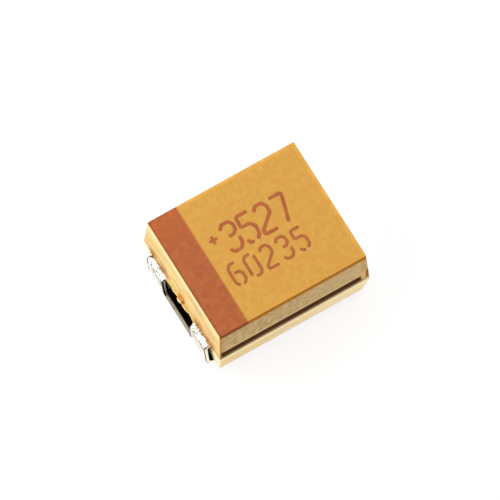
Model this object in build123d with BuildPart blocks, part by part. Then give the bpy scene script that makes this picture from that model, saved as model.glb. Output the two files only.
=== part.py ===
from build123d import *
from math import cos, radians, sin
import os

# Chip tantalum capacitor in a moulded case, size 3528-21, in millimetres.
# The origin is the centre of the footprint in the solder plane. +Z is up, and the
# banded anode end faces -X.

# Envelope of the standard case: over the terminals, over the rim, and up to and above the parting
overall_length = 3.50
rim_width = 2.80
parting_height = 0.92
upper_height = 0.98

# Moulded body, with insets from the rim that give each half its draft
standoff = 0.12
top_end_inset = 0.04
top_side_inset = 0.085
root_side_inset = 0.012
base_end_inset = 0.06
base_side_inset = 0.13
upper_corner_radius = 0.03
lower_corner_radius = 0.04
top_edge_radius = 0.015
rim_land = 0.05
rim_radius = 0.03

# Groove above the rim on each long side, closed by a thin web at the anode end and by a bridge at the
# cathode end, whose front slopes up to the corner
groove_height = 0.25
groove_web = 0.04
ledge_width = 0.13
bridge_length = 0.165
bridge_ledge = 0.05
bridge_rise = 0.20

# Notch behind the window of the anode terminal, and the nub left by the mould's gate
notch_depth = 0.15
nub_width = 0.16
nub_height = 0.10
nub_reach = 0.08
nub_radius = 0.03

# Terminals, folded from one strip
strip_thickness = 0.07
leg_gap = 0.065
terminal_width = 2.10
foot_length = 0.80
leg_angle = 4.0
shoulder_bend = 0.05
heel_bend = 0.12
window_width = 1.00
window_floor = 0.22

# Anode terminal inside the body
crossbar_cover = 0.05
crossbar_depth = 0.20

# Cathode terminal inside the body
entry_length = 0.12
riser_cover = 0.20
riser_bend = 0.06
pad_width = 1.50
pad_length = 1.30

# Anode pellet and wire, with the resin left over and beside the coated pellet
top_wall = 0.195
side_wall = 0.22
riser_clearance = 0.08
pellet_chamfer = 0.05
wire_diameter = 0.24
wire_exposed = 0.56
wire_embedment = 1.15
weld_flat = 0.015
washer_diameter = 0.60
washer_thickness = 0.10

# Coats on the pellet, each starting a little further from the wire than the one below
electrolyte_thickness = 0.03
graphite_thickness = 0.015
silver_thickness = 0.025
graphite_margin = 0.10
silver_margin = 0.16
adhesive_thickness = 0.03
adhesive_inset = 0.10

# Print, set into the top face
print_depth = 0.015
band_length = 0.62
upper_line_start = 1.05
upper_line_base = 1.31
upper_digit_width = 0.27
upper_digit_height = 0.58
upper_digit_pitch = 0.36
upper_digit_slant = 0.12
upper_stroke = 0.07
lower_line_start = 0.81
lower_line_base = 0.69
lower_digit_width = 0.21
lower_digit_height = 0.45
lower_digit_pitch = 0.34
lower_stroke = 0.06
plus_size = 0.17
plus_start = 0.79
plus_base = 1.62

# Strokes of each sign in a cell one wide and one high, with gaps as in a stencil
strokes = {
    "0": [[(0.75, 1), (0.25, 1), (0, 0.85), (0, 0.1)], [(1, 0.87), (1, 0.15), (0.75, 0), (0.28, 0)]],
    "2": [[(0, 0.84), (0.25, 1), (0.75, 1), (1, 0.84), (1, 0.6), (0, 0.16), (0, 0), (1, 0)]],
    "3": [[(0, 0.84), (0.25, 1), (0.75, 1), (1, 0.86), (1, 0.66), (0.72, 0.54), (0.35, 0.54)],
          [(1, 0.4), (1, 0.15), (0.75, 0), (0.25, 0), (0, 0.15)]],
    "5": [[(0.95, 1), (0.05, 1), (0.05, 0.6), (0.72, 0.6), (1, 0.44), (1, 0.16), (0.72, 0)],
          [(0.45, 0), (0.2, 0), (0, 0.14)]],
    "6": [[(0.8, 1), (0.3, 1), (0, 0.82), (0, 0.15), (0.28, 0)],
          [(0.3, 0.57), (0.75, 0.57), (1, 0.42), (1, 0.15), (0.75, 0), (0.55, 0)]],
    "7": [[(0, 1), (1, 1), (0.5, 0)]],
    "+": [[(0, 0.5), (1, 0.5)], [(0.5, 0), (0.5, 1)]],
}

os.makedirs("parts", exist_ok=True)

# Heights and stations that several pieces share
rim_end = overall_length / 2 - strip_thickness - leg_gap
rim_length = 2 * rim_end
rim_side = rim_width / 2
body_top = parting_height + upper_height
top_length = rim_length - 2 * top_end_inset
top_width = rim_width - 2 * top_side_inset
wire_axis_height = parting_height + wire_diameter / 2 - weld_flat
coat_thickness = electrolyte_thickness + graphite_thickness + silver_thickness
crossbar_outer = -(rim_end - notch_depth - crossbar_cover)
crossbar_inner = crossbar_outer + crossbar_depth
riser_face = rim_end - riser_cover - strip_thickness
pellet_start = crossbar_inner + wire_exposed
pellet_end = riser_face - riser_clearance - coat_thickness
pellet_length = pellet_end - pellet_start
pellet_width = 2 * (rim_side - ledge_width - side_wall - coat_thickness)
pellet_height = 2 * (body_top - top_wall - coat_thickness - wire_axis_height)
pad_top = wire_axis_height - pellet_height / 2 - coat_thickness - adhesive_thickness
pad_tip = riser_face - pad_length
adhesive_start = pad_tip + adhesive_inset
adhesive_end = pellet_end - pellet_chamfer - adhesive_inset
top_left = -top_length / 2
top_front = -top_width / 2


# Level section of the body, given by how far it stands in from the rim
def body_section(end_inset, side_inset, radius, height):
    with BuildSketch(Plane.XY.offset(height)) as section:
        RectangleRounded(rim_length - 2 * end_inset, rim_width - 2 * side_inset, radius)
    return section.sketch


# What is cut from the upper half on both long sides: the groove and the shallow recess in front of
# the bridge
def side_grooves():
    groove_start = groove_web - rim_end
    bridge_start = rim_end - bridge_length
    lip = parting_height + groove_height
    groove_outline = [
        (groove_start, parting_height),
        (bridge_start, parting_height),
        (bridge_start, lip),
        (groove_start, lip),
    ]
    bridge_outline = [
        (bridge_start, parting_height),
        (rim_end, parting_height),
        (rim_end, lip + bridge_rise),
        (bridge_start, lip),
    ]
    with BuildPart() as grooves:
        for cut_depth, outline in ((ledge_width, groove_outline), (bridge_ledge, bridge_outline)):
            with BuildSketch(Plane.XZ.offset(rim_side - cut_depth)):
                with BuildLine():
                    Polyline(outline, close=True)
                make_face()
            extrude(amount=cut_depth)
        mirror(about=Plane.XZ)
    return grooves.part


# The body's outer form before anything is set into it
def body_form():
    grooves = side_grooves()
    base = body_section(base_end_inset, base_side_inset, lower_corner_radius, standoff)
    rim = body_section(0, 0, lower_corner_radius, parting_height - rim_land)
    root = body_section(0, root_side_inset, upper_corner_radius, parting_height)
    top = body_section(top_end_inset, top_side_inset, upper_corner_radius, body_top)
    with BuildPart() as lower:
        loft(sections=[base, rim])
        extrude(rim, amount=rim_land)
        fillet(lower.faces().sort_by(Axis.Z)[-1].edges(), radius=rim_radius)
    with BuildPart() as upper:
        loft(sections=[root, top])
        fillet(upper.faces().sort_by(Axis.Z)[-1].edges(), radius=top_edge_radius)
        add(grooves, mode=Mode.SUBTRACT)
    with BuildPart() as nub:
        with Locations((-rim_end - nub_reach, 0, parting_height)):
            Box(2 * nub_reach, nub_width, nub_height, align=(Align.MIN, Align.CENTER, Align.MIN))
        fillet(nub.faces().sort_by(Axis.X)[0].edges(), radius=nub_radius)
    with BuildPart() as form:
        add(lower.part)
        add(upper.part)
        add(nub.part)
        with Locations((-rim_end, 0, 0)):
            Box(
                2 * notch_depth,
                window_width,
                parting_height,
                align=(Align.CENTER, Align.CENTER, Align.MIN),
                mode=Mode.SUBTRACT,
            )
    return form.part


# Section of a folded strip at the +X end, from its foot over the shoulder to the inside.
# The leg leans in towards the heel, and its shoulder bend touches the overall length.
def strip_section(inner_points, inner_radii):
    shoulder_radius = shoulder_bend + strip_thickness
    bend_x = overall_length / 2 - shoulder_radius
    lean = radians(leg_angle)
    shoulder_x = bend_x + shoulder_radius * (1 + sin(lean)) / cos(lean)
    heel_x = bend_x + (shoulder_radius - (parting_height - shoulder_radius) * sin(lean)) / cos(lean)
    outer_points = [
        (overall_length / 2 - foot_length, 0),
        (heel_x, 0),
        (shoulder_x, parting_height),
    ]
    outer_radii = [heel_bend + strip_thickness, shoulder_radius]
    with BuildSketch(Plane.XZ) as section:
        with BuildLine():
            FilletPolyline(outer_points + inner_points, radius=outer_radii + inner_radii)
            offset(amount=strip_thickness, side=Side.LEFT)
        make_face()
    return section.sketch


# The pellet with coats of a given total thickness on it
def coated_pellet(build_up):
    chamfer_length = pellet_chamfer + build_up * (2 - 2 ** 0.5)
    with BuildPart() as form:
        with Locations((pellet_start - build_up, 0, wire_axis_height)):
            Box(
                pellet_length + 2 * build_up,
                pellet_width + 2 * build_up,
                pellet_height + 2 * build_up,
                align=(Align.MIN, Align.CENTER, Align.CENTER),
            )
        chamfer(form.edges(), length=chamfer_length)
    return form.part


# The part of a form that lies at least a margin beyond the pellet's wire face
def beyond_wire_face(form, margin):
    with BuildPart() as piece:
        add(form)
        split(bisect_by=Plane.YZ.offset(pellet_start + margin), keep=Keep.TOP)
    return piece.part


def digit_line(text, start, base, width, height, pitch, slant, stroke):
    with BuildSketch(Plane.XY.offset(body_top)) as line:
        for index, sign in enumerate(text):
            left = top_left + start + index * pitch
            for stroke_points in strokes[sign]:
                points = [
                    (left + (x + slant * y) * width, top_front + base + y * height)
                    for x, y in stroke_points
                ]
                with BuildLine():
                    Polyline(points)
                trace(line_width=stroke)
    return line.sketch


outer_form = body_form()
marks = [
    digit_line("3527", upper_line_start, upper_line_base, upper_digit_width, upper_digit_height,
               upper_digit_pitch, upper_digit_slant, upper_stroke),
    digit_line("60235", lower_line_start, lower_line_base, lower_digit_width, lower_digit_height,
               lower_digit_pitch, 0, lower_stroke),
    digit_line("+", plus_start, plus_base, plus_size, plus_size, plus_size, 0, lower_stroke),
]
uncoated = coated_pellet(0)
with_electrolyte = coated_pellet(electrolyte_thickness)
with_graphite = coated_pellet(electrolyte_thickness + graphite_thickness)
with_silver = coated_pellet(coat_thickness)

# Anode terminal: two legs round a window, joined by a crossbar inside the body
with BuildPart() as anode_terminal:
    extrude(
        strip_section([(-crossbar_inner, parting_height)], []),
        amount=terminal_width / 2,
        both=True,
    )
    mirror(about=Plane.YZ, mode=Mode.REPLACE)
    with Locations((crossbar_outer, 0, window_floor)):
        Box(
            overall_length,
            window_width,
            parting_height,
            align=(Align.MAX, Align.CENTER, Align.MIN),
            mode=Mode.SUBTRACT,
        )

# Cathode terminal: steps down inside the body to a narrower pad below the pellet
with BuildPart() as cathode_terminal:
    extrude(
        strip_section(
            [
                (riser_face, parting_height),
                (riser_face, pad_top),
                (pad_tip, pad_top),
            ],
            [riser_bend + strip_thickness, riser_bend],
        ),
        amount=terminal_width / 2,
        both=True,
    )
    for side, side_align in ((-1, Align.MAX), (1, Align.MIN)):
        with Locations((rim_end - entry_length, side * pad_width / 2, standoff)):
            Box(
                overall_length,
                terminal_width,
                parting_height,
                align=(Align.MAX, side_align, Align.MIN),
                mode=Mode.SUBTRACT,
            )

# Wire, pressed flat where it is welded to the crossbar
with BuildPart() as anode_wire:
    with BuildSketch(Plane.YZ.offset(crossbar_outer)):
        with Locations((0, wire_axis_height)):
            Circle(wire_diameter / 2)
    extrude(amount=pellet_start + wire_embedment - crossbar_outer)
    with Locations((crossbar_outer, 0, parting_height)):
        Box(
            crossbar_depth,
            wire_diameter,
            wire_diameter,
            align=(Align.MIN, Align.CENTER, Align.MAX),
            mode=Mode.SUBTRACT,
        )

# Pellet, pressed round the wire
with BuildPart() as tantalum_anode:
    add(uncoated)
    add(anode_wire.part, mode=Mode.SUBTRACT)

# Washer on the wire, against the pellet
with BuildPart() as wire_washer:
    with BuildSketch(Plane.YZ.offset(pellet_start - washer_thickness)):
        with Locations((0, wire_axis_height)):
            Circle(washer_diameter / 2)
            Circle(wire_diameter / 2, mode=Mode.SUBTRACT)
    extrude(amount=washer_thickness)

with BuildPart() as electrolyte_layer:
    add(with_electrolyte)
    add(uncoated, mode=Mode.SUBTRACT)
    add(wire_washer.part, mode=Mode.SUBTRACT)
    add(anode_wire.part, mode=Mode.SUBTRACT)

with BuildPart() as graphite_layer:
    add(beyond_wire_face(with_graphite, graphite_margin))
    add(with_electrolyte, mode=Mode.SUBTRACT)

with BuildPart() as silver_layer:
    add(beyond_wire_face(with_silver, silver_margin))
    add(with_graphite, mode=Mode.SUBTRACT)

# Glue between the silver coat and the cathode pad
with BuildPart() as silver_adhesive:
    with Locations((adhesive_start, 0, pad_top)):
        Box(
            adhesive_end - adhesive_start,
            pad_width - 2 * adhesive_inset,
            adhesive_thickness,
            align=(Align.MIN, Align.CENTER, Align.MIN),
        )

# Print across the anode end, from the face's edge to the band's own edge
with BuildPart() as polarity_band:
    add(outer_form)
    with Locations((top_left + band_length, 0, body_top - print_depth)):
        Box(
            rim_length,
            rim_width,
            body_top,
            align=(Align.MAX, Align.CENTER, Align.MIN),
            mode=Mode.INTERSECT,
        )

with BuildPart() as value_marking:
    for mark in marks:
        extrude(mark, amount=-print_depth)

pieces = {
    "anode_terminal": anode_terminal,
    "cathode_terminal": cathode_terminal,
    "anode_wire": anode_wire,
    "tantalum_anode": tantalum_anode,
    "wire_washer": wire_washer,
    "electrolyte_layer": electrolyte_layer,
    "graphite_layer": graphite_layer,
    "silver_layer": silver_layer,
    "silver_adhesive": silver_adhesive,
    "polarity_band": polarity_band,
    "value_marking": value_marking,
}

# Epoxy, moulded round everything that it holds
with BuildPart() as moulded_body:
    add(outer_form)
    for piece in pieces.values():
        add(piece.part, mode=Mode.SUBTRACT)

pieces["moulded_body"] = moulded_body

for name, piece in pieces.items():
    piece.part.label = name
    export_step(piece.part, f"parts/{name}.step")
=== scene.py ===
import math

import bmesh
import bpy
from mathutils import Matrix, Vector


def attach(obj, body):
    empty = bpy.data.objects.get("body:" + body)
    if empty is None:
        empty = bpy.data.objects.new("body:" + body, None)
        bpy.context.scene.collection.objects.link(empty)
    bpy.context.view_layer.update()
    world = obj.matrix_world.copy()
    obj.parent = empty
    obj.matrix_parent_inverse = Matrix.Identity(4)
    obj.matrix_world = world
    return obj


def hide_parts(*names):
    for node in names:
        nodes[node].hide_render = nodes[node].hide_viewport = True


# Chip tantalum capacitor. Lengths in the dictionaries are millimetres in the frame's own axes:
# the origin is the footprint's centre in the solder plane, and the banded anode end faces -X.
mm = 0.001
sameSpot = 0.00001 * mm  # points closer than this are one

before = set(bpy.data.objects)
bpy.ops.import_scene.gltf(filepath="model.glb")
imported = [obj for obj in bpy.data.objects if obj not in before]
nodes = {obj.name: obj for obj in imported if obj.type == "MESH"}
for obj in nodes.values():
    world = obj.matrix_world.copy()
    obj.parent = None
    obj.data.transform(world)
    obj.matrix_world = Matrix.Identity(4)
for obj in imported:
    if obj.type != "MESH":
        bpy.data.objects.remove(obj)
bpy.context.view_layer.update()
print("frame loaded:", ", ".join(sorted(nodes)))


def tone(red, green, blue):  # a colour written as 0 to 255, as the linear value that a socket takes
    def linear(level):
        level /= 255
        return level / 12.92 if level <= 0.04045 else ((level + 0.055) / 1.055) ** 2.4

    return (linear(red), linear(green), linear(blue), 1.0)


def setInputs(tree, node, values):  # a socket is linked, and anything else is set
    for key, value in values.items():
        if isinstance(value, bpy.types.NodeSocket):
            tree.links.new(value, node.inputs[key])
        else:
            node.inputs[key].default_value = value


def addNode(tree, kind, values=None, **settings):  # settings are the node's own, and values its inputs
    node = tree.nodes.new(kind)
    for key, value in settings.items():
        setattr(node, key, value)
    setInputs(tree, node, values or {})
    return node


def firstOut(tree, kind, values=None, **settings):
    return addNode(tree, kind, values, **settings).outputs[0]


def math2(tree, operation, first, second=0.0, clamp=False):
    return firstOut(tree, "ShaderNodeMath", {0: first, 1: second}, operation=operation, use_clamp=clamp)


def product(tree, *factors):
    result = factors[0]
    for factor in factors[1:]:
        result = math2(tree, "MULTIPLY", result, factor)
    return result


def either(tree, first, second):  # the larger of two
    return math2(tree, "MAXIMUM", first, second)


def vectorMath(tree, operation, first, second):
    slot = 3 if operation == "SCALE" else 1
    return firstOut(tree, "ShaderNodeVectorMath", {0: first, slot: second}, operation=operation)


def parts(tree, vector):  # x, y and z of a vector
    return addNode(tree, "ShaderNodeSeparateXYZ", {0: vector}).outputs


def spread(tree, value, low, high, toLow=0.0, toHigh=1.0):  # eases from toLow to toHigh over low to high
    values = {"Value": value, "From Min": low, "From Max": high, "To Min": toLow, "To Max": toHigh}
    return firstOut(tree, "ShaderNodeMapRange", values, interpolation_type="SMOOTHSTEP")


def between(tree, value, low, high, soft):  # 1 from low to high, with soft edges outside them
    return product(tree, spread(tree, value, low - soft, low), spread(tree, value, high, high + soft, 1, 0))


def newObject(name, data):
    piece = bpy.data.objects.new(name, data)
    bpy.context.scene.collection.objects.link(piece)
    return piece


def objectOf(name, work):  # from a bmesh, which is then freed
    mesh = bpy.data.meshes.new(name)
    work.to_mesh(mesh)
    work.free()
    return newObject(name, mesh)


def settle(piece):  # turns what the modifiers make into the piece's own plain mesh
    graph = bpy.context.evaluated_depsgraph_get()
    mesh = bpy.data.meshes.new_from_object(piece.evaluated_get(graph))
    piece.modifiers.clear()
    piece.data = mesh


def cleanMesh(mesh):  # no doubles, and faces outwards
    work = bmesh.new()
    work.from_mesh(mesh)
    bmesh.ops.remove_doubles(work, verts=work.verts, dist=sameSpot)
    bmesh.ops.recalc_face_normals(work, faces=work.faces)
    work.to_mesh(mesh)
    work.free()


def finishMesh(piece, material, sharpAngle=32):  # smooth faces with crisp edges
    cleanMesh(piece.data)
    piece.data.shade_smooth()
    piece.data.set_sharp_from_angle(angle=math.radians(sharpAngle))
    piece.data.materials.clear()
    piece.data.materials.append(material)
    piece.data.name = piece.name
    return piece


def newTree(name, sizes, others=()):
    # a Geometry Nodes tree with one geometry in and out: sizes are float inputs, and others name their kind
    tree = bpy.data.node_groups.new(name, "GeometryNodeTree")
    inputs = [("Geometry", "Geometry"), *[(label, "Float") for label in sizes], *others]
    for label, kind in inputs + [("Material", "Material")]:
        tree.interface.new_socket(label, in_out="INPUT", socket_type="NodeSocket" + kind)
    tree.interface.new_socket("Geometry", in_out="OUTPUT", socket_type="NodeSocketGeometry")
    return tree, addNode(tree, "NodeGroupInput").outputs


def endTree(tree, shape, material):
    realized = firstOut(tree, "GeometryNodeRealizeInstances", {"Geometry": shape})
    painted = firstOut(tree, "GeometryNodeSetMaterial", {"Geometry": realized, "Material": material})
    addNode(tree, "NodeGroupOutput", {"Geometry": painted})


def hostPosition(tree):
    return firstOut(tree, "GeometryNodeInputPosition")


def namedValue(tree, name, kind="FLOAT"):
    return firstOut(tree, "GeometryNodeInputNamedAttribute", {"Name": name}, data_type=kind)


def stored(tree, shape, name, value, kind="FLOAT", domain="POINT"):
    values = {"Geometry": shape, "Name": name, "Value": value}
    return firstOut(tree, "GeometryNodeStoreNamedAttribute", values, data_type=kind, domain=domain)


def seededNoise(tree, seed, perMm, detail):  # its outputs are the value and the colour
    values = {"Vector": hostPosition(tree), "W": seed, "Scale": perMm / mm, "Detail": detail}
    return addNode(tree, "ShaderNodeTexNoise", values, noise_dimensions="4D").outputs


def curveFromHost(tree, given, step=None, corners=None):
    # the host's lines as a curve, with rounded corners and even steps where they are asked for
    curve = firstOut(tree, "GeometryNodeMeshToCurve", {"Mesh": given["Geometry"]})
    if corners:
        values = {"Curve": curve, "Count": 5, "Radius": corners, "Limit Radius": True}
        curve = firstOut(tree, "GeometryNodeFilletCurve", values, mode="POLY")
    if step:
        values = {"Curve": curve, "Length": step}
        curve = firstOut(tree, "GeometryNodeResampleCurve", values, mode="LENGTH")
    return curve


def closedSlab(tree, sheet, offset, distance):
    # the sheet and a copy of it at an offset, joined by walls; also gives what marks the walls and the copy
    values = {"Mesh": sheet, "Offset": offset, "Offset Scale": distance, "Individual": False}
    slab = addNode(tree, "GeometryNodeExtrudeMesh", values, mode="FACES").outputs
    mesh = stored(tree, slab["Mesh"], "cutEdge", slab["Side"], domain="FACE")
    mesh = stored(tree, mesh, "through", slab["Top"])
    front = firstOut(tree, "GeometryNodeFlipFaces", {"Mesh": sheet})
    both = addNode(tree, "GeometryNodeJoinGeometry")
    tree.links.new(front, both.inputs[0])
    tree.links.new(mesh, both.inputs[0])
    values = {"Geometry": both.outputs[0], "Distance": sameSpot}
    return firstOut(tree, "GeometryNodeMergeByDistance", values)


def growPiece(name, lines, tree, values):
    # a host mesh of plain lines, each point (x, y, z, measure) in millimetres, grown by the tree;
    # the measure is what the tree needs at that point, such as a bend's radius or a flash's reach
    points, edges = [], []
    for line in lines:
        edges += [(len(points) + i, len(points) + i + 1) for i in range(len(line) - 1)]
        points += line
    mesh = bpy.data.meshes.new(name)
    mesh.from_pydata([Vector(p[:3]) * mm for p in points], edges, [])
    measure = mesh.attributes.new("measure", "FLOAT", "POINT")
    measure.data.foreach_set("value", [p[3] * mm for p in points])
    piece = newObject(name, mesh)
    modifier = piece.modifiers.new(tree.name, "NODES")
    modifier.node_group = tree
    for item in tree.interface.items_tree:
        if item.in_out == "INPUT" and item.name in values:
            modifier[item.identifier] = values[item.name]
    settle(piece)
    return piece


def newMaterial(name):
    material = bpy.data.materials.new(name)
    material.use_nodes = True
    tree = material.node_tree
    shader = tree.nodes["Principled BSDF"]
    coords = addNode(tree, "ShaderNodeTexCoord").outputs["Object"]
    place = firstOut(tree, "ShaderNodeMapping", {"Vector": coords, "Scale": (1 / mm,) * 3})
    return material, tree, shader, place  # place is in millimetres


def noise(tree, place, perMm, detail=3.0, roughness=0.55, stretch=None, distortion=0.0):
    if stretch:
        place = vectorMath(tree, "MULTIPLY", place, stretch)
    values = {"Vector": place, "Scale": perMm, "Detail": detail, "Roughness": roughness}
    return firstOut(tree, "ShaderNodeTexNoise", {**values, "Distortion": distortion})


def blend(tree, factor, first, second):  # a colour between two, each a socket or (red, green, blue)
    first, second = [tone(*end) if isinstance(end, tuple) else end for end in (first, second)]
    return addNode(tree, "ShaderNodeMix", {0: factor, 6: first, 7: second}, data_type="RGBA").outputs[2]


def bumps(tree, height, depth, previous=None):  # depth in millimetres
    values = {"Height": height, "Strength": 1.0, "Distance": depth * mm}
    if previous:
        values["Normal"] = previous
    return firstOut(tree, "ShaderNodeBump", values)


# The case's sizes, which the finishes use too, so that painted shade sits in its hollows and painted
# highlights on its edges
case = {
    "rimLength": 3.23,
    "rimWidth": 2.7998,
    "standoff": 0.12,
    "partingHeight": 0.92,
    "topHeight": 1.898,  # a hair under the print
    "baseInset": (0.06, 0.13),  # how far each section stands in from the rim, at the ends and the sides
    "rootInset": (0.0, 0.012),
    "rootHold": (0.1, 0.11),  # where the upper half is let into the lower one
    "rootDepth": 0.01,
    "topInset": (0.04, 0.085),
    "lowerCorner": 0.04,
    "upperCorner": 0.03,
    "rimLand": 0.05,
    "rimRadius": 0.03,
    "baseRadius": 0.02,
    "topRadius": 0.016,
    "ledge": 0.13,
    "grooveHeight": 0.25,
    "grooveWeb": 0.04,
    "bridgeLength": 0.165,
    "bridgeLedge": 0.05,
    "bridgeRise": 0.20,
    "notchDepth": 0.15,
    "windowWidth": 1.00,
    "bandLength": 0.62,
    "stub": (0.09, 0.075, 0.052),  # half sizes of the gate's stub
    "stubCentre": (-1.604, 0.0, 0.972),
    "stubSquareness": 3.2,  # 2 is a ball, and more is nearer to a block
}
rimEnd, rimSide = case["rimLength"] / 2, case["rimWidth"] / 2
parting, caseTop = case["partingHeight"], case["topHeight"]
halfWindow, notchEnd = case["windowWidth"] / 2, rimEnd - case["notchDepth"]
grooveTop = parting + case["grooveHeight"]
grooveStart, bridgeStart = case["grooveWeb"] - rimEnd, rimEnd - case["bridgeLength"]
topLeft, topFront = case["topInset"][0] - rimEnd, case["topInset"][1] - rimSide
bandEnd = topLeft + case["bandLength"]

# Both terminals are folded from one strip
strip = {
    "overallLength": 3.50,
    "thickness": 0.07,
    "width": 2.10,
    "footLength": 0.80,
    "legAngle": 4.0,
    "shoulderBend": 0.05,
    "heelBend": 0.12,
    "windowFloor": 0.22,
    "crossbarCover": 0.05,
    "crossbarDepth": 0.20,
    "entryLength": 0.12,
    "riserCover": 0.20,
    "riserBend": 0.06,
    "padTop": 0.315,
    "padLength": 1.30,
    "padWidth": 1.50,
    "crinkle": 0.007,
    "crinklesPerMm": 11,
    "bendSteps": 12,
    "rowsAcross": 89,
    "anodeRows": 113,
    "cathodeRows": 181,
    "anodeSeed": 3.0,
    "cathodeSeed": 8.0,
}

epoxyLook = {
    "gold": (211, 156, 64),
    "paleGold": (216, 163, 76),
    "warmGold": (215, 152, 66),
    "brightRim": (234, 178, 72),
    "sideTone": (194, 163, 108),
    "sideShade": (172, 139, 82),
    "sideLipHighlight": (206, 174, 118),
    "endTone": (230, 200, 124),
    "endShade": (205, 162, 86),
    "endRimHighlight": (246, 220, 158),
    "lowerTone": (237, 203, 134),
    "lowerPale": (247, 221, 162),
    "edgeShadeTone": (162, 100, 10),
    "bandEdgeShadeTone": (124, 66, 22),
    "cornerShadeTone": (176, 122, 52),
    "rimHighlightTone": (255, 232, 182),
    "bleedAndShadeTone": (170, 104, 34),
    "stubTone": (206, 124, 38),
    "thinInkAndHighlightTone": (252, 226, 176),
    "postTone": (224, 172, 104),
    "postShade": (146, 94, 20),
    "grooveShadeTone": (104, 49, 0),
    "notchShadeTone": (30, 14, 5),
    "speckTone": (128, 88, 36),
    "grainPerMm": 34,
    "grainDepth": 0.0011,
    "streakDepth": 0.0016,
    "roughness": (0.34, 0.46),
    "gloss": 0.2,
    "scatter": 0.22,
    "scatterReach": (0.16, 0.06, 0.02),
}


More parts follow.
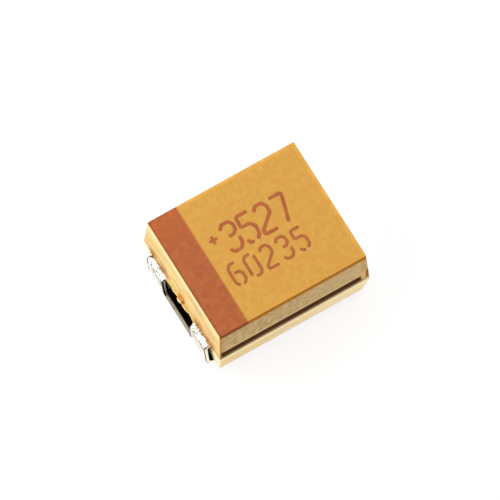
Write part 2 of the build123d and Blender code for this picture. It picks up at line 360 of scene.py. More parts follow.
def makeEpoxy():
    look = epoxyLook
    material, tree, shader, place = newMaterial("goldEpoxy")
    x, y, z = parts(tree, place)
    alongX, alongY = math2(tree, "ABSOLUTE", x), math2(tree, "ABSOLUTE", y)
    facing = parts(tree, addNode(tree, "ShaderNodeTexCoord").outputs["Normal"])
    facingX, facingY, facingZ = [math2(tree, "ABSOLUTE", part) for part in facing]
    grain = noise(tree, place, look["grainPerMm"], 2)
    streaks = noise(tree, place, 1.0, 3, stretch=(20, 1.6, 11))
    pale = spread(tree, noise(tree, place, 8.5, 4), 0.36, 0.64)
    warm = spread(tree, noise(tree, place, 4.5, 3), 0.52, 0.74, 0, 0.7)
    colour = blend(tree, pale, look["gold"], look["paleGold"])
    colour = blend(tree, warm, colour, look["warmGold"])
    # the top is brighter along the two edges that the lamps shine over
    farEdge = either(tree, spread(tree, y, 1.21, 1.29), spread(tree, x, 1.47, 1.55))
    uneven = spread(tree, noise(tree, place, 6, 3), 0.35, 0.65, 0.25, 0.9)
    farEdge = product(tree, farEdge, spread(tree, facingZ, 0.2, 0.5), uneven)
    colour = blend(tree, farEdge, colour, look["brightRim"])
    # rare dark filler specks
    speck = addNode(tree, "ShaderNodeTexVoronoi", {"Vector": place, "Scale": 7.0}, feature="F1").outputs
    speckPick = firstOut(tree, "ShaderNodeSeparateColor", {0: speck["Color"]})
    specks = spread(tree, speck["Distance"], 0.07, 0.11, 1, 0)
    specks = product(tree, specks, spread(tree, speckPick, 0.90, 0.93), 0.6)
    colour = blend(tree, specks, colour, look["speckTone"])
    # the drawn walls are paler than the top, palest below the parting, and darker under the top's long
    # edges: partly a paler moulded skin, and partly painted light and shade, with brighter lit copies of the
    # tone on the ends and below the parting
    crept = product(tree, spread(tree, alongX, 1.60, 1.62), spread(tree, z, 1.05, 1.10, 1, 0))
    wall = either(tree, spread(tree, facingZ, 0.45, 0.75, 1, 0), crept)
    below = spread(tree, z, parting - 0.03, parting, 1, 0)
    streaky = spread(tree, streaks, 0.44, 0.58, 0, 0.8)
    endTone = blend(tree, streaky, look["endTone"], look["endShade"])
    # painted highlight along the top of the end faces
    endTone = blend(tree, spread(tree, z, 1.66, 1.76, 0, 0.85), endTone, look["endRimHighlight"])
    blotches = spread(tree, noise(tree, place, 9, 4), 0.40, 0.60)
    blotches = product(tree, blotches, spread(tree, x, -0.4, 1.2, 1, 0.45))
    sideTone = blend(tree, blotches, look["sideTone"], look["sideShade"])
    # painted highlight along the lip over the groove
    lip = between(tree, z, grooveTop - 0.02, grooveTop + 0.045, 0.03)
    sideTone = blend(tree, product(tree, lip, 0.8), sideTone, look["sideLipHighlight"])
    # painted shade on the side walls where they round into the banded end
    sideTone = blend(tree, spread(tree, x, -1.60, -1.45, 1, 0), sideTone, look["cornerShadeTone"])
    # the ends get a brighter lit copy of the tone than the side walls
    onEnd = either(tree, spread(tree, facingX, 0.55, 0.85), crept)
    wallTone = blend(tree, onEnd, sideTone, endTone)
    # below the parting the walls get brighter lit copies of the tone, brighter still towards the cathode end
    # and on the ends
    lowerPale = math2(tree, "ADD", spread(tree, x, -0.8, 1.2, -0.3, 0.7), noise(tree, place, 5, 4))
    lowerPale = spread(tree, lowerPale, 0.3, 1.0)
    lowerTone = blend(tree, lowerPale, look["lowerTone"], look["lowerPale"])
    wallTone = blend(tree, below, wallTone, blend(tree, onEnd, lowerTone, look["rimHighlightTone"]))
    colour = blend(tree, product(tree, wall, 0.95), colour, wallTone)
    # painted shade under the top's long edges, with a wavy lower border
    edgeWobble = product(tree, noise(tree, place, 16, 2), 0.06)
    longEdge = spread(tree, math2(tree, "ADD", z, edgeWobble), 1.77, 1.86)
    longEdge = product(tree, spread(tree, facingY, 0.4, 0.7), longEdge, spread(tree, z, 1.5, 1.6))
    underBand = spread(tree, x, bandEnd - 0.02, bandEnd + 0.02, 1, 0)
    colour = blend(tree, longEdge, colour, blend(tree, underBand, look["edgeShadeTone"], look["bandEdgeShadeTone"]))
    # painted highlight: the rim is palest along its upper edge
    onSide = product(tree, spread(tree, alongY, 1.20, 1.25), spread(tree, facingX, 0.4, 0.6, 1, 0))
    onRim = product(tree, between(tree, z, parting - 0.09, parting + 0.004, 0.012), onSide)
    colour = blend(tree, onRim, colour, look["rimHighlightTone"])
    # darker orange where resin crept over the two leads and round the gate's stub, with a wavy upper edge:
    # partly the resin's own colour and partly painted shade
    creepEdge = math2(tree, "ADD", z, product(tree, noise(tree, place, 7, 3), -0.30))
    onLeads = product(tree, spread(tree, alongY, 0.38, 0.60), spread(tree, alongY, 1.12, 1.24, 1, 0.25))
    onStub = spread(tree, alongY, 0.08, 0.13, 1.0, 0.0)
    creepAndShade = product(
        tree, spread(tree, alongX, 1.582, 1.592), spread(tree, creepEdge, 0.92, 1.10, 1, 0),
        spread(tree, z, parting - 0.06, parting - 0.02), either(tree, onLeads, onStub),
        spread(tree, noise(tree, place, 9, 3), 0.35, 0.6, 0.40, 0.90),
    )
    colour = blend(tree, creepAndShade, colour, blend(tree, onStub, look["bleedAndShadeTone"], look["stubTone"]))
    # painted highlight along the outer edge of what crept out
    thinInkAndSkirtHighlight = product(
        tree, spread(tree, alongX, 1.636, 1.650), spread(tree, facingX, 0.4, 0.7),
        spread(tree, alongY, 0.5, 0.6, 0.9, 0.2),
    )
    colour = blend(tree, thinInkAndSkirtHighlight, colour, look["thinInkAndHighlightTone"])
    # painted shade in the grooves and behind the window
    groove = product(
        tree, between(tree, z, parting - 0.005, grooveTop + 0.002, 0.008), onSide,
        spread(tree, alongY, 1.335, 1.412, 1, 0),
        spread(tree, x, bridgeStart - 0.02, bridgeStart, 0.92, 0.35),
    )
    colour = blend(tree, groove, colour, look["grooveShadeTone"])
    notch = product(
        tree, spread(tree, x, 0.02 - rimEnd, 0.05 - rimEnd), spread(tree, x, -1.45, -1.44, 1, 0),
        spread(tree, alongY, 0.505, 0.515, 1, 0), spread(tree, z, parting - 0.02, parting + 0.005, 1, 0),
    )
    colour = blend(tree, notch, colour, look["notchShadeTone"])
    # painted light and shade: the bridge's front is bright, and dark where it turns round to the cathode end
    post = product(
        tree, spread(tree, x, bridgeStart, bridgeStart + 0.015), spread(tree, z, parting, parting + 0.01),
        spread(tree, alongY, rimSide - 0.045, rimSide - 0.038, 1, 0), spread(tree, alongY, 1.2, 1.3),
    )
    postTone = blend(tree, spread(tree, x, 1.525, 1.56), look["postTone"], look["postShade"])
    colour = blend(tree, product(tree, post, spread(tree, z, 1.28, 1.40, 1, 0)), colour, postTone)
    # the long top edges, the grooves and the bridges, where shade and light are painted, have no shine
    paintedLightAndShade = either(tree, groove, post)
    dull = product(tree, either(tree, longEdge, paintedLightAndShade), 0.95)
    setInputs(tree, shader, {
        "Base Color": colour,
        "Roughness": either(tree, spread(tree, grain, 0.3, 0.7, *look["roughness"]), dull),
        "Specular IOR Level": look["gloss"],
        "Subsurface Weight": look["scatter"],
        "Subsurface Radius": look["scatterReach"],
        "Subsurface Scale": mm,
        "Normal": bumps(tree, grain, look["grainDepth"], bumps(tree, streaks, look["streakDepth"])),
    })
    return material


printLook = {
    "brown": (166, 86, 44),
    "paleBrown": (182, 100, 54),
    "redBrown": (178, 92, 44),
    "thinInkAndHighlightTone": (208, 140, 66),
    "litOrange": (206, 100, 42),
    "darkBorder": (112, 56, 26),
    "grainPerMm": 26,
    "grainDepth": 0.001,
    "roughness": (0.5, 0.65),
    "gloss": 0.25,
}


def makePrint():
    look = printLook
    material, tree, shader, place = newMaterial("brownPrint")
    x, y = parts(tree, place)[:2]
    mottle = noise(tree, place, 7.0, 5, 0.65)
    grain = noise(tree, place, look["grainPerMm"], 2)
    colour = blend(tree, spread(tree, mottle, 0.36, 0.64), look["brown"], look["paleBrown"])
    redder = math2(tree, "ADD", noise(tree, place, 2.4, 2), spread(tree, y, 0.2, 1.2, 0, 0.25))
    colour = blend(tree, spread(tree, redder, 0.5, 0.75), colour, look["redBrown"])
    # painted light makes the band a brighter orange at one corner, and the band is thin along its inner
    # border
    patchy = spread(tree, noise(tree, place, 4, 3), 0.42, 0.60)
    litOrange = product(tree, patchy, spread(tree, y, 0.75, 1.20), spread(tree, x, -1.2, -1.0, 1, 0), 0.8)
    colour = blend(tree, litOrange, colour, look["litOrange"])
    inner = between(tree, x, bandEnd - 0.012, bandEnd + 0.02, 0.02)
    colour = blend(tree, product(tree, inner, 0.55), colour, look["thinInkAndHighlightTone"])
    # fine grains of gold where the print is thin, most of them at one end of the band
    thinInkAndSkirtHighlight = spread(tree, y, 0.4, 1.2, 0.0, 0.045)
    grains = spread(tree, math2(tree, "ADD", grain, thinInkAndSkirtHighlight), 0.66, 0.76, 0, 0.7)
    colour = blend(tree, grains, colour, look["thinInkAndHighlightTone"])
    # the ink lies dark along the case's edges
    outer = either(tree, spread(tree, x, -1.57, -1.52, 0.9, 0), spread(tree, y, 1.285, 1.305))
    colour = blend(tree, product(tree, outer, 0.7), colour, look["darkBorder"])
    setInputs(tree, shader, {
        "Base Color": colour,
        "Roughness": spread(tree, mottle, 0.3, 0.7, *look["roughness"]),
        "Specular IOR Level": look["gloss"],
        "Normal": bumps(tree, grain, look["grainDepth"]),
    })
    return material


tinLook = {
    "tin": (250, 249, 243),
    "dullTin": (226, 222, 208),
    "cutTone": (252, 246, 226),
    "sillTone": (206, 200, 178),
    "sillShade": (104, 93, 68),
    "edgeLineTone": (30, 25, 17),
    "gapTone": (34, 26, 16),
    "crackTone": (44, 40, 30),
    "roughness": (0.42, 0.58),
    "crackPerMm": 7,
    "wrinkleDepth": 0.007,
}


def makeTin():
    look = tinLook
    material, tree, shader, place = newMaterial("tinPlate")
    x, y, z = parts(tree, place)
    alongX, alongY = math2(tree, "ABSOLUTE", x), math2(tree, "ABSOLUTE", y)
    facingZ = math2(tree, "ABSOLUTE", parts(tree, addNode(tree, "ShaderNodeTexCoord").outputs["Normal"])[2])
    cut = addNode(tree, "ShaderNodeAttribute", attribute_name="cutEdge").outputs["Fac"]
    through = addNode(tree, "ShaderNodeAttribute", attribute_name="through").outputs["Fac"]
    cloud = noise(tree, place, 6, 4)
    wrinkle = noise(tree, place, 13, 4, 0.6, distortion=0.8)
    colour = blend(tree, spread(tree, cloud, 0.38, 0.62), look["tin"], look["dullTin"])
    # the plating cracks in wandering lines where the strip is bent over at the shoulder
    lines = noise(tree, place, look["crackPerMm"], 4, 0.6, stretch=(1.6, 0.7, 1.6), distortion=1.4)
    lines = math2(tree, "ABSOLUTE", math2(tree, "SUBTRACT", lines, 0.5))
    patches = spread(tree, noise(tree, place, 6, 3), 0.36, 0.52)
    cracks = product(tree, spread(tree, lines, 0.016, 0.042, 1, 0), patches)
    cracks = product(tree, cracks, spread(tree, z, 0.30, 0.66, 0, 0.97))
    pits = spread(tree, noise(tree, place, 20, 2), 0.62, 0.68)
    pits = product(tree, pits, spread(tree, z, 0.2, 0.7, 0, 0.97))
    colour = blend(tree, either(tree, cracks, pits), colour, look["crackTone"])
    # nothing lights the strip's inner side under the case
    underCase = product(tree, spread(tree, alongX, 1.20, 1.35), spread(tree, z, 0.86, 0.90, 1, 0))
    gap = product(tree, spread(tree, through, 0.6, 0.9), underCase)
    colour = blend(tree, gap, colour, look["gapTone"])
    # the cut faces are bright between two dark lines, and the window's sill is dull and darkens inwards with
    # painted shade
    sill = blend(tree, through, look["sillTone"], look["sillShade"])
    face = blend(tree, spread(tree, facingZ, 0.5, 0.8), look["cutTone"], sill)
    edgeLines = either(tree, spread(tree, through, 0.08, 0.22, 1, 0), spread(tree, through, 0.84, 0.95))
    # one of the window's cut faces is dark for half its depth
    anodeEnd = spread(tree, x, -0.1, 0.1, 1, 0)
    darkHalf = product(tree, between(tree, y, halfWindow - 0.05, halfWindow + 0.02, 0.01), anodeEnd)
    darkHalf = product(tree, darkHalf, spread(tree, through, 0.45, 0.6, 1, 0))
    edgeLines = either(tree, edgeLines, darkHalf)
    colour = blend(tree, cut, colour, blend(tree, edgeLines, face, look["edgeLineTone"]))
    # the dark line shows on the outer side too, beside the legs' edges
    nearWindow = spread(tree, alongY, halfWindow + 0.01, halfWindow + 0.04, 1, 0)
    besideWindow = product(tree, nearWindow, spread(tree, z, 0.24, 0.28), anodeEnd)
    besideEdge = spread(tree, alongY, strip["width"] / 2 - 0.034, strip["width"] / 2 - 0.014)
    rims = product(
        tree, either(tree, besideWindow, besideEdge), spread(tree, cut, 0.4, 0.6, 1, 0),
        spread(tree, alongX, 1.66, 1.68), spread(tree, noise(tree, place, 10, 2), 0.3, 0.5, 0.5, 1),
    )
    colour = blend(tree, rims, colour, look["edgeLineTone"])
    setInputs(tree, shader, {
        "Base Color": colour,
        "Metallic": 1.0,
        "Roughness": spread(tree, cloud, 0.3, 0.7, *look["roughness"]),
        "Normal": bumps(tree, wrinkle, look["wrinkleDepth"]),
    })
    return material


# The sealed pieces: two tones, metallic, roughness, grain per millimetre and depth of grain
sealedLooks = {
    "anode_wire": ((128, 128, 134), (150, 150, 156), 1.0, 0.32, 30, 0.001),
    "tantalum_anode": ((70, 70, 74), (96, 96, 100), 0.7, 0.75, 60, 0.004),
    "wire_washer": ((232, 230, 224), (244, 243, 238), 0.0, 0.45, 20, 0.001),
    "electrolyte_layer": ((30, 29, 30), (48, 46, 46), 0.1, 0.7, 45, 0.003),
    "graphite_layer": ((52, 52, 55), (74, 74, 78), 0.4, 0.5, 35, 0.002),
    "silver_layer": ((176, 175, 170), (204, 203, 198), 0.9, 0.42, 28, 0.002),
    "silver_adhesive": ((150, 148, 142), (182, 180, 174), 0.8, 0.5, 24, 0.002),
}


def makeSealed(name):
    dark, light, metallic, roughness, perMm, depth = sealedLooks[name]
    material, tree, shader, place = newMaterial(name + "Finish")
    cloud = noise(tree, place, perMm / 6, 4)
    grain = noise(tree, place, perMm, 3)
    setInputs(tree, shader, {
        "Base Color": blend(tree, spread(tree, cloud, 0.35, 0.65), dark, light),
        "Metallic": metallic,
        "Roughness": spread(tree, cloud, 0.3, 0.7, roughness - 0.08, roughness + 0.08),
        "Normal": bumps(tree, grain, depth),
    })
    return material


epoxy, brownPrint, tinPlate = makeEpoxy(), makePrint(), makeTin()
for nodeName in sealedLooks:
    sealedNode = nodes[nodeName]
    sealedNode.data.materials.clear()
    sealedNode.data.materials.append(makeSealed(nodeName))
print("finishes made")

cornerSteps, edgeSteps = 8, 6
outside = 2  # where a cutting form ends, clear of the case
edgeArc = [math.radians(90 * step / edgeSteps) for step in range(edgeSteps + 1)]


def section(inset, radius, height):
    # a level rounded rectangle that stands in from the rim by (at the ends, at the sides)
    halfX, halfY = rimEnd - inset[0] - radius, rimSide - inset[1] - radius
    ring = []
    for corner, (signX, signY) in enumerate(((1, 1), (-1, 1), (-1, -1), (1, -1))):
        for step in range(cornerSteps + 1):
            angle = math.radians(90 * (corner + step / cornerSteps))
            x, y = signX * halfX + radius * math.cos(angle), signY * halfY + radius * math.sin(angle)
            ring.append((x, y, height))
    return ring


def loft(name, rings):
    count = len(rings[0])
    faces = [list(range(count))[::-1], [(len(rings) - 1) * count + i for i in range(count)]]
    for low in range(len(rings) - 1):
        for i in range(count):
            j = (i + 1) % count
            faces.append((low * count + i, low * count + j, (low + 1) * count + j, (low + 1) * count + i))
    mesh = bpy.data.meshes.new(name)
    mesh.from_pydata([Vector(p) * mm for ring in rings for p in ring], [], faces)
    cleanMesh(mesh)
    return newObject(name, mesh)


def combine(piece, other, operation):
    modifier = piece.modifiers.new(operation, "BOOLEAN")
    modifier.operation, modifier.solver, modifier.object = operation, "EXACT", other
    settle(piece)
    bpy.data.objects.remove(other)


def slide(start, end, share):
    return tuple(a + (b - a) * share for a, b in zip(start, end))


def upperSection(drop, inward):  # level section of the upper half, a drop below its top
    insetX, insetY = slide(case["rootInset"], case["topInset"], 1 - drop / (caseTop - parting))
    return section((insetX + inward, insetY + inward), case["upperCorner"] - inward, caseTop - drop)


def topRings(arc):  # the upper half's rounded top edge
    radius = case["topRadius"]
    return [upperSection(radius * (1 - math.sin(angle)), radius * (1 - math.cos(angle))) for angle in arc]


def makeLowerHalf():
    # rounded base edge, draft out to the rim, its land and its rounded upper edge
    rimStart, base, corner = parting - case["rimLand"], case["standoff"], case["lowerCorner"]
    rings = []
    for angle in edgeArc:
        inward = case["baseRadius"] * (1 - math.sin(angle))
        lift = case["baseRadius"] * (1 - math.cos(angle))
        insetX, insetY = slide(case["baseInset"], (0, 0), lift / (rimStart - base))
        rings.append(section((insetX + inward, insetY + inward), corner - inward, base + lift))
    rings.append(section((0, 0), corner, rimStart))
    for angle in edgeArc:
        inward = case["rimRadius"] * (1 - math.cos(angle))
        height = parting - case["rimRadius"] * (1 - math.sin(angle))
        rings.append(section((inward, inward), corner - inward, height))
    lower = loft("caseBody", rings)
    # notch behind the window of the anode terminal
    outline = [
        (-outside, -halfWindow), (-notchEnd, -halfWindow), (-notchEnd, halfWindow), (-outside, halfWindow)
    ]
    levels = [[(x, y, height) for x, y in outline] for height in (0, outside)]
    combine(lower, loft("notch", levels), "DIFFERENCE")
    return lower


def makeUpperHalf():
    # let a little into the lower half
    root = section(case["rootHold"], case["upperCorner"], parting - case["rootDepth"])
    upper = loft("upperHalf", [root, upperSection(caseTop - parting, 0), *topRings(edgeArc)])
    # groove along each long side, and a shallow recess in front of the bridge that closes it
    low = parting - case["standoff"]
    grooveOutline = [
        (grooveStart, low), (bridgeStart, low), (bridgeStart, grooveTop), (grooveStart, grooveTop)
    ]
    recessTop = grooveTop + (outside - bridgeStart) * case["bridgeRise"] / case["bridgeLength"]
    recessOutline = [(bridgeStart, low), (outside, low), (outside, recessTop), (bridgeStart, grooveTop)]
    for side in (1, -1):
        for depth, outline in ((case["ledge"], grooveOutline), (case["bridgeLedge"], recessOutline)):
            walls = [[(x, side * y, z) for x, z in outline] for y in (rimSide - depth, outside)]
            combine(upper, loft("groove", walls), "DIFFERENCE")
    return upper


def makeStub():  # what the mould's gate left: a rounded block
    work = bmesh.new()
    bmesh.ops.create_icosphere(work, subdivisions=4, radius=1)
    power = case["stubSquareness"]
    for vertex in work.verts:
        reach = sum(abs(part) ** power for part in vertex.co) ** (1 / power)
        sized = zip(case["stubCentre"], case["stub"], vertex.co)
        vertex.co = Vector([centre + half * part / reach for centre, half, part in sized]) * mm
    return objectOf("stub", work)


caseBody = makeLowerHalf()
combine(caseBody, makeUpperHalf(), "UNION")
combine(caseBody, makeStub(), "UNION")
finishMesh(caseBody, epoxy)
print("case made:", len(caseBody.data.polygons), "faces")


def makeStripTree():
    sizes = [
        "Width", "Thickness", "Window Half Width", "Window Floor", "Window End",
        "Neck Half Width", "Neck Start", "Neck Height", "Crinkle", "Seed",
    ]
    tree, given = newTree("foldedStrip", sizes, [("Rows Along", "Int"), ("Rows Across", "Int")])
    line = curveFromHost(tree, given)
    bends = {"Curve": line, "Count": strip["bendSteps"], "Radius": namedValue(tree, "measure")}
    path = firstOut(tree, "GeometryNodeFilletCurve", bends, mode="POLY")
    size = {
        "Size X": 1.0, "Size Y": given["Width"],
        "Vertices X": given["Rows Along"], "Vertices Y": given["Rows Across"],
    }
    grid = firstOut(tree, "GeometryNodeMeshGrid", size)
    here = parts(tree, hostPosition(tree))
    values = {"Curves": path, "Factor": math2(tree, "ADD", here[0], 0.5, clamp=True)}
    onPath = addNode(tree, "GeometryNodeSampleCurve", values, mode="FACTOR", use_all_curves=False).outputs
    pathPoint = parts(tree, onPath["Position"])
    place = firstOut(tree, "ShaderNodeCombineXYZ", {0: pathPoint[0], 1: here[1], 2: pathPoint[2]})
    inward = vectorMath(tree, "CROSS_PRODUCT", onPath["Tangent"], (0, 1, 0))
    kept = stored(tree, grid, "inward", inward, "FLOAT_VECTOR")
    sheet = firstOut(tree, "GeometryNodeSetPosition", {"Geometry": kept, "Position": place})
    # openings: the window between the legs, and the narrower part inside the case
    spot = parts(tree, hostPosition(tree))
    across, outward = math2(tree, "ABSOLUTE", spot[1]), math2(tree, "ABSOLUTE", spot[0])
    window = product(
        tree,
        math2(tree, "LESS_THAN", across, given["Window Half Width"]),
        math2(tree, "GREATER_THAN", spot[2], given["Window Floor"]),
        math2(tree, "GREATER_THAN", outward, given["Window End"]),
    )
    neck = product(
        tree,
        math2(tree, "GREATER_THAN", across, given["Neck Half Width"]),
        math2(tree, "LESS_THAN", outward, given["Neck Start"]),
        math2(tree, "GREATER_THAN", spot[2], given["Neck Height"]),
    )
    openings = {"Geometry": sheet, "Selection": math2(tree, "ADD", window, neck)}
    sheet = firstOut(tree, "GeometryNodeDeleteGeometry", openings, domain="FACE")
    keptInward = namedValue(tree, "inward", "FLOAT_VECTOR")
    closed = closedSlab(tree, sheet, keptInward, given["Thickness"])
    # crinkles of the plating, only inwards, strongest over the shoulder
    wave = seededNoise(tree, given["Seed"], strip["crinklesPerMm"], 2.0)[0]
    nearTop = spread(tree, parts(tree, hostPosition(tree))[2], 0.25 * mm, 0.85 * mm, 0.15, 1.0)
    depth = product(tree, wave, given["Crinkle"], nearTop, math2(tree, "SIGN", given["Thickness"]))
    shift = vectorMath(tree, "SCALE", keptInward, depth)
    crinkled = firstOut(tree, "GeometryNodeSetPosition", {"Geometry": closed, "Offset": shift})
    endTree(tree, crinkled, given["Material"])
    return tree


def stripPath(side, innerPoints):
    # the strip's outer line: foot, heel, leaning leg and shoulder, then inwards; side is 1 or -1 along X
    lean, end = math.radians(strip["legAngle"]), strip["overallLength"] / 2
    shoulderRadius = strip["shoulderBend"] + strip["thickness"]
    bendX = end - shoulderRadius
    shoulderX = bendX + shoulderRadius * (1 + math.sin(lean)) / math.cos(lean)
    heelX = bendX + (shoulderRadius - (parting - shoulderRadius) * math.sin(lean)) / math.cos(lean)
    points = [
        (end - strip["footLength"], 0.0, 0.0),
        (heelX, 0.0, strip["heelBend"] + strip["thickness"]),
        (shoulderX, parting, shoulderRadius),
    ]
    return [(side * x, 0.0, z, bend) for x, z, bend in points + innerPoints]


def makeTerminal(name, tree, side, innerPoints, rowsAlong, windowHalfWidth, neckHalfWidth, seed):
    values = {
        "Width": strip["width"] * mm,
        "Thickness": side * strip["thickness"] * mm,
        "Rows Along": rowsAlong,
        "Rows Across": strip["rowsAcross"],
        "Window Half Width": windowHalfWidth * mm,
        "Window Floor": strip["windowFloor"] * mm,
        "Window End": (notchEnd - strip["crossbarCover"]) * mm,
        "Neck Half Width": neckHalfWidth * mm,
        "Neck Start": (rimEnd - strip["entryLength"]) * mm,
        "Neck Height": 2 * case["standoff"] * mm,
        "Crinkle": strip["crinkle"] * mm,
        "Seed": seed,
        "Material": tinPlate,
    }
    piece = growPiece(name, [stripPath(side, innerPoints)], tree, values)
    return finishMesh(piece, tinPlate, sharpAngle=50)


def makeTerminals():
    tree = makeStripTree()
    crossbarInner = notchEnd - strip["crossbarCover"] - strip["crossbarDepth"]
    riserFace = rimEnd - strip["riserCover"] - strip["thickness"]
    inside = [
        (riserFace, parting, strip["riserBend"] + strip["thickness"]),
        (riserFace, strip["padTop"], strip["riserBend"]),
        (riserFace - strip["padLength"], strip["padTop"], 0.0),
    ]
    crossbar, neck = [(crossbarInner, parting, 0.0)], strip["padWidth"] / 2
    anode = makeTerminal(
        "anodeTerminal", tree, -1, crossbar, strip["anodeRows"], halfWindow, outside, strip["anodeSeed"]
    )
    cathode = makeTerminal(
        "cathodeTerminal", tree, 1, inside, strip["cathodeRows"], 0, neck, strip["cathodeSeed"]
    )
    return anode, cathode


anodeTerminal, cathodeTerminal = makeTerminals()
stripFaces = [len(piece.data.polygons) for piece in (anodeTerminal, cathodeTerminal)]
print("terminals folded:", stripFaces, "faces")

# Print on the top face
printing = {
    "topZ": 1.8999,
    "depth": 0.015,
    "step": 0.008,
    "wobble": 0.004,
    "wobblesPerMm": 38,
    "bendShare": 0.55,  # a stroke's corner radius as a share of its width
    "plusCentre": (0.875, 1.705),  # from the top face's corner at the banded end
    "plusSize": 0.17,
    "plusStroke": 0.06,
}
# signs as strokes in a cell one wide and one high, with gaps as in a stencil
signStrokes = {
    "0": [[(0.75, 1), (0.25, 1), (0, 0.85), (0, 0.1)], [(1, 0.87), (1, 0.15), (0.75, 0), (0.28, 0)]],
    "2": [[(0, 0.84), (0.25, 1), (0.75, 1), (1, 0.84), (1, 0.6), (0, 0.16), (0, 0), (1, 0)]],
    "3": [[(0, 0.84), (0.25, 1), (0.75, 1), (1, 0.86), (1, 0.66), (0.72, 0.54), (0.35, 0.54)],
          [(1, 0.4), (1, 0.15), (0.75, 0), (0.25, 0), (0, 0.15)]],
    "5": [[(0.95, 1), (0.05, 1), (0.05, 0.6), (0.72, 0.6), (1, 0.44), (1, 0.16), (0.72, 0)],
          [(0.45, 0), (0.2, 0), (0, 0.14)]],
    "6": [[(0.8, 1), (0.3, 1), (0, 0.82), (0, 0.15), (0.28, 0)],
          [(0.3, 0.57), (0.75, 0.57), (1, 0.42), (1, 0.15), (0.75, 0), (0.55, 0)]],
    "7": [[(0, 1), (1, 1), (0.5, 0)]],
}
# rows of signs, placed from the same corner
printRows = [
    {"signs": "3527", "start": 1.05, "base": 1.31, "width": 0.27, "height": 0.58, "pitch": 0.36,
     "slant": 0.12, "stroke": 0.07},
    {"signs": "60235", "start": 0.81, "base": 0.69, "width": 0.21, "height": 0.45, "pitch": 0.34,
     "slant": 0.0, "stroke": 0.06},
]


def makeStrokeTree():
    tree, given = newTree("printStroke", ["Stroke", "Depth", "Corner Radius", "Wobble", "Seed"])
    dense = curveFromHost(tree, given, printing["step"] * mm, given["Corner Radius"])
    # the stroke's half width falls to nothing in a round at both ends
    along = addNode(tree, "GeometryNodeSplineParameter").outputs["Length"]
    total = firstOut(tree, "GeometryNodeSplineLength")
    toEnd = math2(tree, "MINIMUM", along, math2(tree, "SUBTRACT", total, along))
    halfStroke = product(tree, given["Stroke"], 0.5)
    share = math2(tree, "DIVIDE", toEnd, product(tree, halfStroke, 0.5))
    short = math2(tree, "SUBTRACT", 1.0, share, clamp=True)
    endRound = math2(tree, "SQRT", math2(tree, "SUBTRACT", 1.02, math2(tree, "POWER", short, 2.0)))
    flat = firstOut(tree, "GeometryNodeSetCurveNormal", {"Curve": dense}, mode="Z_UP")
    profile = firstOut(tree, "GeometryNodeCurvePrimitiveLine", {"Start": (-1, 0, 0), "End": (1, 0, 0)})
    swept = {"Curve": flat, "Profile Curve": profile, "Scale": product(tree, endRound, halfStroke)}
    ribbon = firstOut(tree, "GeometryNodeCurveToMesh", swept)
    wave = seededNoise(tree, given["Seed"], printing["wobblesPerMm"], 1.0)[1]
    wave = vectorMath(tree, "SUBTRACT", wave, (0.5, 0.5, 0.5))
    shift = vectorMath(tree, "SCALE", vectorMath(tree, "MULTIPLY", wave, (2, 2, 0)), given["Wobble"])
    ragged = firstOut(tree, "GeometryNodeSetPosition", {"Geometry": ribbon, "Offset": shift})
    down = firstOut(tree, "ShaderNodeCombineXYZ", {2: -1.0})
    endTree(tree, closedSlab(tree, ragged, down, given["Depth"]), given["Material"])
    return tree


def makePlus():
    # one outline of twelve corners, walked round from arm to arm
    half, arm = printing["plusStroke"] / 2, printing["plusSize"] / 2
    centreX, centreY = topLeft + printing["plusCentre"][0], topFront + printing["plusCentre"][1]
    corners = []
    for quarter in range(4):
        cos, sin = round(math.cos(quarter * math.pi / 2)), round(math.sin(quarter * math.pi / 2))
        for x, y in ((half, half), (arm, half), (arm, -half)):
            corners.append((centreX + x * cos + y * sin, centreY - x * sin + y * cos))
    top, depth = printing["topZ"], printing["depth"]
    return loft("plus", [[(x, y, height) for x, y in corners] for height in (top - depth, top)])


def makeMarking():
    tree = makeStrokeTree()
    rows = [makePlus()]
    for index, row in enumerate(printRows):
        lines = []
        for place, sign in enumerate(row["signs"]):
            left, front = topLeft + row["start"] + place * row["pitch"], topFront + row["base"]
            for stroke in signStrokes[sign]:
                spots = [(x + row["slant"] * y, y) for x, y in stroke]
                spots = [(left + x * row["width"], front + y * row["height"]) for x, y in spots]
                lines.append([(x, y, printing["topZ"], 0.0) for x, y in spots])
        values = {
            "Stroke": row["stroke"] * mm,
            "Depth": printing["depth"] * mm,
            "Corner Radius": row["stroke"] * printing["bendShare"] * mm,
            "Wobble": printing["wobble"] * mm,
            "Seed": 5.0 + index,
            "Material": brownPrint,
        }
        rows.append(growPiece(f"row{index}", lines, tree, values))
    # one mesh for all of it
    work = bmesh.new()
    for row in rows:
        work.from_mesh(row.data)
        bpy.data.objects.remove(row)
    return finishMesh(objectOf("valueMarking", work), brownPrint)


def makeBand():
    # lies a hair over the case's rounded edge at the anode end, and ends in a straight edge across the top
    lift = printing["topZ"] - caseTop
    rings = [upperSection(case["topRadius"], case["topRadius"] * 0.8), *topRings(edgeArc[edgeSteps // 2:])]
    rows = []
    for index, ring in enumerate(rings):
        end = [p for p in ring if p[0] < bandEnd]
        halfY, height = max(p[1] for p in end), ring[0][2] + (lift if index else 0)
        end = [(bandEnd, halfY)] + [p[:2] for p in end] + [(bandEnd, -halfY)]
        rows.append([(x, y, height) for x, y in end])
    return finishMesh(loft("polarityBand", rows), brownPrint)


valueMarking = makeMarking()
polarityBand = makeBand()
printFaces = [len(piece.data.polygons) for piece in (valueMarking, polarityBand)]
print("print laid:", printFaces, "faces")

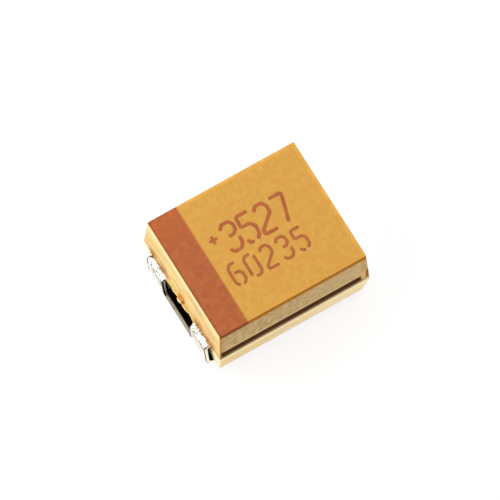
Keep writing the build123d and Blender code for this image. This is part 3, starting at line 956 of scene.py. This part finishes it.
# Resin that crept out of the mould at the parting: a flared skirt over each end, and lumps on the ledges
flash = {
    "endX": 1.612,
    "height": 0.925,
    "endY": 1.22,
    "reach": {"corner": 0.002, "lead": 0.026, "window": 0.050},
    "windowY": 0.46,
    "leadY": (0.58, 1.1),  # from the window's side of a lead to its outer edge
    "wavesPerMm": 6,
    "step": 0.015,
    "unevenness": 0.75,
    "lumpPitch": 0.65,
    "lumpStart": -0.875,
    "lumpCount": 4,
    "lumpY": 1.352,
    "lumpSize": (0.034, 0.013, 0.011),
    "lumpUnevenness": 0.4,
}


def makeSkirtTree():
    tree, given = newTree("resinSkirt", ["Step", "Unevenness", "Seed"])
    curve = curveFromHost(tree, given, given["Step"])
    flat = firstOut(tree, "GeometryNodeSetCurveNormal", {"Curve": curve}, mode="Z_UP")
    # the skirt's section for a reach of one: outwards along X, up along Y
    corners = ((-0.7, -0.6, 0), (1, -0.18, 0), (0.86, 0.2, 0), (-0.7, 3.6, 0))
    corners = {f"Point {index + 1}": corner for index, corner in enumerate(corners)}
    profile = firstOut(tree, "GeometryNodeCurvePrimitiveQuadrilateral", corners, mode="POINTS")
    soft = {"Curve": profile, "Count": 3, "Radius": 0.2, "Limit Radius": True}
    profile = firstOut(tree, "GeometryNodeFilletCurve", soft, mode="POLY")
    wave = math2(tree, "SUBTRACT", seededNoise(tree, given["Seed"], flash["wavesPerMm"], 3.0)[0], 0.5)
    wave = math2(tree, "ADD", 1.0, product(tree, wave, 2.0, given["Unevenness"]))
    swept = {
        "Curve": flat,
        "Profile Curve": profile,
        "Scale": product(tree, namedValue(tree, "measure"), wave),
        "Fill Caps": True,
    }
    skirt = firstOut(tree, "GeometryNodeCurveToMesh", swept)
    endTree(tree, skirt, given["Material"])
    return tree


def makeSkirt():
    reach, (lead, leadEnd) = flash["reach"], flash["leadY"]
    half = [(flash["endY"], "corner"), (leadEnd, "lead"), (lead, "lead"), (flash["windowY"], "window")]
    anodeLine = half + [(-y, kind) for y, kind in half[::-1]]
    cathodeLine = (anodeLine[:2] + anodeLine[-2:])[::-1]  # the other way round, with no window
    lines = []
    for side, line in ((-1, anodeLine), (1, cathodeLine)):
        lines.append([(side * flash["endX"], y, flash["height"], reach[kind]) for y, kind in line])
    values = {"Step": flash["step"] * mm, "Unevenness": flash["unevenness"], "Seed": 2.0, "Material": epoxy}
    return finishMesh(growPiece("resinSkirt", lines, makeSkirtTree(), values), epoxy, sharpAngle=60)


def makeLumpTree():
    tree, given = newTree("ledgeLumps", ["Unevenness"], [("Lump Size", "Vector"), ("Seed", "Int")])
    points = firstOut(tree, "GeometryNodeMeshToPoints", {"Mesh": given["Geometry"]})
    ball = firstOut(tree, "GeometryNodeMeshIcoSphere", {"Radius": 1.0, "Subdivisions": 2})
    low = math2(tree, "SUBTRACT", 1.0, given["Unevenness"])
    values = {"Min": low, "Max": 1.0, "Seed": given["Seed"]}
    vary = addNode(tree, "FunctionNodeRandomValue", values, data_type="FLOAT").outputs
    size = vectorMath(tree, "SCALE", given["Lump Size"], [socket for socket in vary if socket.enabled][0])
    placed = {"Points": points, "Instance": ball, "Scale": size}
    lumps = firstOut(tree, "GeometryNodeInstanceOnPoints", placed)
    endTree(tree, lumps, given["Material"])
    return tree


def makeLumps():
    spots = [
        [(flash["lumpStart"] + index * flash["lumpPitch"], side * flash["lumpY"], parting, 0.0)]
        for side in (-1, 1) for index in range(flash["lumpCount"])
    ]
    size = Vector(flash["lumpSize"]) * mm
    values = {"Lump Size": size, "Unevenness": flash["lumpUnevenness"], "Seed": 4, "Material": epoxy}
    return finishMesh(growPiece("ledgeLumps", spots, makeLumpTree(), values), epoxy, sharpAngle=60)


resinSkirt, ledgeLumps = makeSkirt(), makeLumps()
flashFaces = [len(piece.data.polygons) for piece in (resinSkirt, ledgeLumps)]
print("flash run:", flashFaces, "faces")

for piece, slotName, nodeName in (
    (caseBody, "epoxy", "moulded_body"),
    (resinSkirt, "epoxy", None),
    (ledgeLumps, "epoxy", None),
    (polarityBand, "brown_print", "polarity_band"),
    (valueMarking, "brown_print", "value_marking"),
    (anodeTerminal, "tinned_strip", "anode_terminal"),
    (cathodeTerminal, "tinned_strip", "cathode_terminal"),
):
    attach(piece, "root")
    if nodeName:
        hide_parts(nodeName)
print("pieces placed")

studio = {
    "floorSize": 4000,
    "floorGlow": 0.84,
    "floorWhite": 0.20,
    "bounceWhite": 0.85,
    "skyLevel": 0.22,
    # each lamp: the direction it shines from, its level and its width in degrees
    "lamps": {
        "backLeft": ((-0.55, 0.60, 0.62), 0.52, 70),
        "left": ((-0.92, 0.25, 0.36), 0.52, 60),
        "backRight": ((0.62, 0.48, 0.62), 0.38, 70),
        "front": ((0.12, -0.96, 0.10), 0.62, 50),
    },
}


def seenRays(tree):  # 1 for rays from the camera, mirrors and glass
    path = addNode(tree, "ShaderNodeLightPath").outputs
    seen = either(tree, path["Is Camera Ray"], path["Is Glossy Ray"])
    return either(tree, seen, path["Is Transmission Ray"])


def makeStudio():
    bpy.ops.mesh.primitive_plane_add(size=studio["floorSize"] * mm)
    floor = bpy.context.object
    floor.name = "floor"
    material = bpy.data.materials.new("paleFloor")
    material.use_nodes = True
    tree = material.node_tree
    tree.nodes.clear()
    white, bounce = studio["floorWhite"], studio["bounceWhite"]
    seenFloor = firstOut(tree, "ShaderNodeBsdfDiffuse", {"Color": (white, white, white, 1)})
    glow = firstOut(tree, "ShaderNodeEmission", {"Color": (1, 1, 1, 1), "Strength": studio["floorGlow"]})
    shown = firstOut(tree, "ShaderNodeAddShader", {0: seenFloor, 1: glow})
    plain = firstOut(tree, "ShaderNodeBsdfDiffuse", {"Color": (bounce, bounce, bounce, 1)})
    mixed = firstOut(tree, "ShaderNodeMixShader", {0: seenRays(tree), 1: plain, 2: shown})
    addNode(tree, "ShaderNodeOutputMaterial", {"Surface": mixed})
    floor.data.materials.append(material)

    world = bpy.data.worlds.new("softRoom")
    bpy.context.scene.world = world
    world.use_nodes = True
    tree = world.node_tree
    tree.nodes.clear()
    level = spread(tree, seenRays(tree), 0, 1, studio["skyLevel"], 1.0)
    sky = firstOut(tree, "ShaderNodeBackground", {"Color": (1, 1, 1, 1), "Strength": level})
    addNode(tree, "ShaderNodeOutputWorld", {"Surface": sky})

    for lampName, (direction, level, width) in studio["lamps"].items():
        lamp = bpy.data.lights.new(lampName, "SUN")
        lamp.energy = level * math.pi
        lamp.angle = math.radians(width)
        holder = newObject(lampName, lamp)
        holder.rotation_mode = "QUATERNION"
        holder.rotation_quaternion = Vector(direction).to_track_quat("Z", "Y")


view = {
    "azimuth": -30.66,
    "elevation": 69.2,
    "lens": 1000,
    "sensor": 36,
    "frameWidth": 9.225,  # what the image spans at the object
    "aim": (-0.124, -0.198),  # from the top face's centre to the image's centre, right and up
    "topZ": 1.90,
}


def makeCamera():
    camera = bpy.data.cameras.new("camera")
    camera.lens, camera.sensor_width = view["lens"], view["sensor"]
    distance = view["frameWidth"] * view["lens"] / view["sensor"]
    camera.clip_start, camera.clip_end = 1 * mm, 10 * distance * mm
    holder = newObject("camera", camera)
    azimuth, elevation = math.radians(view["azimuth"]), math.radians(view["elevation"])
    back = Vector((
        math.sin(azimuth) * math.cos(elevation),
        -math.cos(azimuth) * math.cos(elevation),
        math.sin(elevation),
    ))
    turn = back.to_track_quat("Z", "Y")
    right, up = turn @ Vector((1, 0, 0)), turn @ Vector((0, 1, 0))
    aim = Vector((0, 0, view["topZ"])) + right * view["aim"][0] + up * view["aim"][1]
    holder.rotation_mode = "QUATERNION"
    holder.rotation_quaternion = turn
    holder.location = (aim + back * distance) * mm
    bpy.context.scene.camera = holder


makeStudio()
makeCamera()
bpy.context.scene.view_settings.view_transform = "Standard"
print("studio set")
